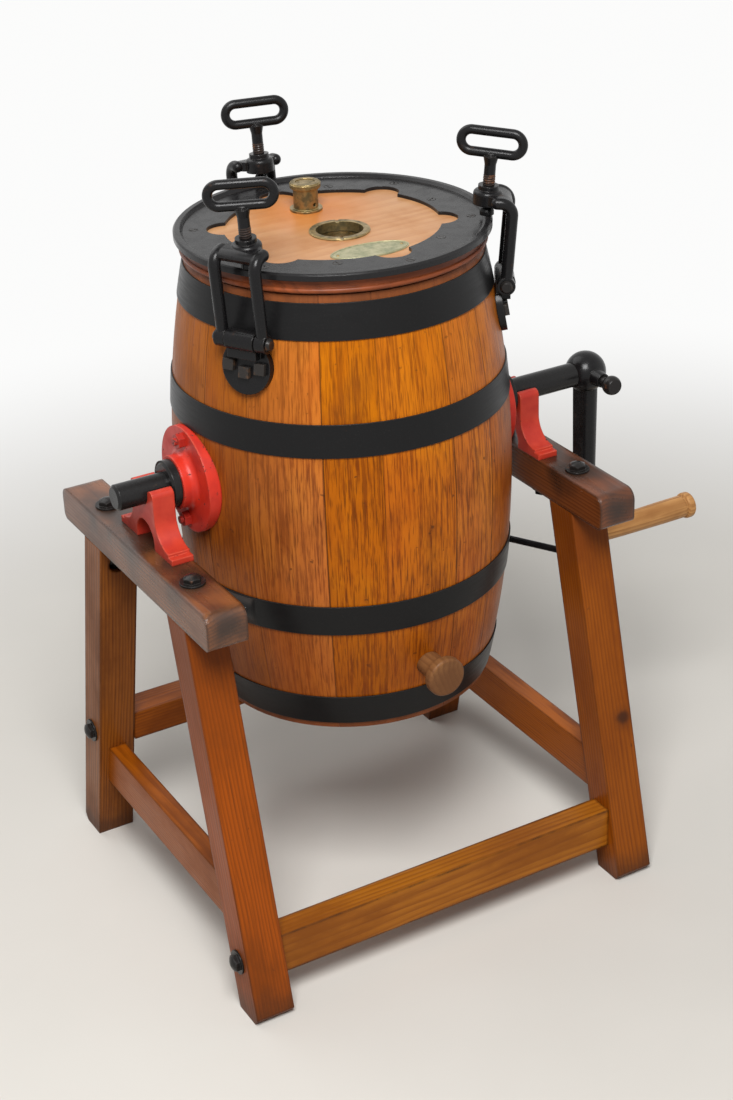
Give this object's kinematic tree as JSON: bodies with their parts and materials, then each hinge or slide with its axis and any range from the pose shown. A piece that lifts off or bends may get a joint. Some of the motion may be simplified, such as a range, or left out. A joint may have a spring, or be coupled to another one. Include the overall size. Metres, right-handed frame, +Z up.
{
  "type": "tumbling butter churn",
  "caption": "Coopered barrel that tumbles end over end on a splayed stand by a hand crank, with a clamped lid, a sight glass, a vent and a drain plug.",
  "frame": {"origin": "on the floor, at the bottom centre of the whole object's box", "axes": "+Z up, +X along the trunnion axis towards the crank, -Y towards the drain plug at the front"},
  "size_m": [0.9132, 0.5612, 1.0631],
  "materials": {
    "stand_wood": "satin",
    "pale_wood": "satin",
    "frame_iron": "worn",
    "red_paint": "gloss",
    "stave_wood": "gloss",
    "hoop_iron": "satin",
    "shaft_steel": "worn",
    "lid_wood": "satin",
    "seal_rubber": "matte",
    "sight_glass": "gloss",
    "aged_brass": "aged",
    "plate_metal": "dull",
    "spring_steel": "bright",
    "plug_wood": "satin",
    "grip_wood": "gloss",
    "cast_iron": "worn"
  },
  "bodies": {
    "stand": {"rail_left": "stand_wood", "rail_right": "stand_wood", "leg_front_left": "stand_wood", "leg_front_right": "stand_wood", "leg_back_left": "stand_wood", "leg_back_right": "stand_wood", "side_stretcher_left": "stand_wood", "side_stretcher_right": "stand_wood", "front_stretcher": "pale_wood", "back_stretcher": "stand_wood", "rail_bolts": "frame_iron", "stretcher_bolts": "frame_iron", "bearing_left": "red_paint", "bearing_right": "red_paint", "catch_bracket": "cast_iron", "catch_pin": "cast_iron"},
    "catch_hook": {"catch_hook": "cast_iron"},
    "barrel": {"staves": "stave_wood", "drain_stave": "stave_wood", "hoop_top": "hoop_iron", "hoop_upper": "hoop_iron", "hoop_lower": "hoop_iron", "hoop_bottom": "hoop_iron", "bottom_head": "stave_wood", "flange_left": "red_paint", "flange_right": "red_paint", "shaft_left": "shaft_steel", "shaft_right": "shaft_steel", "shaft_collars": "cast_iron", "flange_bolts": "cast_iron", "bracket_a": "cast_iron", "bracket_b": "cast_iron", "bracket_c": "cast_iron", "bracket_bolts": "cast_iron", "hinge_pins": "cast_iron", "crank_arm": "cast_iron", "crank_set_screw": "cast_iron", "crank_spindle": "cast_iron", "catch_keeper": "cast_iron"},
    "grip": {"crank_grip": "grip_wood"},
    "lid": {"lid_board": "lid_wood", "lid_ring": "cast_iron", "lid_seal": "seal_rubber", "ring_screws": "cast_iron", "sight_ring": "aged_brass", "sight_glass": "sight_glass", "vent_body": "aged_brass", "oval_plate": "plate_metal", "vent_spring": "spring_steel"},
    "vent_valve": {"vent_valve": "aged_brass"},
    "drain_plug": {"drain_plug": "plug_wood"},
    "clamp_a": {"clamp_arm_a": "cast_iron"},
    "pad_a": {"clamp_pad_a": "cast_iron"},
    "screw_a": {"clamp_screw_a": "cast_iron"},
    "clamp_b": {"clamp_arm_b": "cast_iron"},
    "pad_b": {"clamp_pad_b": "cast_iron"},
    "screw_b": {"clamp_screw_b": "cast_iron"},
    "clamp_c": {"clamp_arm_c": "cast_iron"},
    "pad_c": {"clamp_pad_c": "cast_iron"},
    "screw_c": {"clamp_screw_c": "cast_iron"}
  },
  "joints": [
    {"name": "barrel_tumble", "type": "hinge", "parent": "stand", "child": "barrel", "pos_m": [-0.12855, 0, 0.652], "axis": [-1, 0, 0], "continuous": true},
    {"name": "grip_spin", "type": "hinge", "parent": "barrel", "child": "grip", "pos_m": [0.27455, 0, 0.391], "axis": [1, 0, 0], "continuous": true},
    {"name": "clamp_swing_a", "type": "hinge", "parent": "barrel", "child": "clamp_a", "pos_m": [-0.31476, -0.10751, 0.866], "axis": [-0.5, 0.866, 0], "range_deg": [-140, 0]},
    {"name": "pad_slide_a", "type": "slide", "parent": "clamp_a", "child": "pad_a", "axis": [-0.0755, -0.0436, 0.9962], "range_m": [0, 0.004]},
    {"name": "screw_turn_a", "type": "hinge", "parent": "pad_a", "child": "screw_a", "pos_m": [-0.29559, -0.09644, 0.9573], "axis": [-0.0755, -0.0436, 0.9962], "range_deg": [0, 360]},
    {"name": "clamp_swing_b", "type": "hinge", "parent": "barrel", "child": "clamp_b", "pos_m": [0.05766, -0.10751, 0.866], "axis": [-0.5, -0.866, 0], "range_deg": [-140, 0]},
    {"name": "pad_slide_b", "type": "slide", "parent": "clamp_b", "child": "pad_b", "axis": [0.0755, -0.0436, 0.9962], "range_m": [0, 0.004]},
    {"name": "screw_turn_b", "type": "hinge", "parent": "pad_b", "child": "screw_b", "pos_m": [0.03849, -0.09644, 0.9573], "axis": [0.0755, -0.0436, 0.9962], "range_deg": [0, 360]},
    {"name": "clamp_swing_c", "type": "hinge", "parent": "barrel", "child": "clamp_c", "pos_m": [-0.12855, 0.21501, 0.866], "axis": [1, 0, 0], "range_deg": [-140, 0]},
    {"name": "pad_slide_c", "type": "slide", "parent": "clamp_c", "child": "pad_c", "axis": [0, 0.0872, 0.9962], "range_m": [0, 0.004]},
    {"name": "screw_turn_c", "type": "hinge", "parent": "pad_c", "child": "screw_c", "pos_m": [-0.12855, 0.19289, 0.9573], "axis": [0, 0.0872, 0.9962], "range_deg": [0, 360]},
    {"name": "lid_lift", "type": "slide", "parent": "barrel", "child": "lid", "axis": [0, 0, 1], "range_m": [0, 0.02932]},
    {"name": "vent_press", "type": "slide", "parent": "lid", "child": "vent_valve", "axis": [0, 0, -1], "range_m": [0, 0.003], "stiffness_N_per_m": 800, "springref_m": -0.003, "deforming": ["vent_spring"]},
    {"name": "plug_pull", "type": "slide", "parent": "barrel", "child": "drain_plug", "axis": [0, -1, 0], "range_m": [0, 0.06]},
    {"name": "catch_swing", "type": "hinge", "parent": "stand", "child": "catch_hook", "pos_m": [0.16345, -0.10649, 0.441], "axis": [0, 0, 1], "range_deg": [-50, 7]}
  ],
  "couplings": [
    {"joint": "pad_slide_a", "follows": "screw_turn_a", "m_per_rad": 0.00063662},
    {"joint": "pad_slide_b", "follows": "screw_turn_b", "m_per_rad": 0.00063662},
    {"joint": "pad_slide_c", "follows": "screw_turn_c", "m_per_rad": 0.00063662},
    {"joint": "clamp_swing_b", "follows": "clamp_swing_a", "ratio": 1},
    {"joint": "clamp_swing_c", "follows": "clamp_swing_a", "ratio": 1},
    {"joint": "lid_lift", "follows": "clamp_swing_a", "m_per_rad": -0.012}
  ]
}
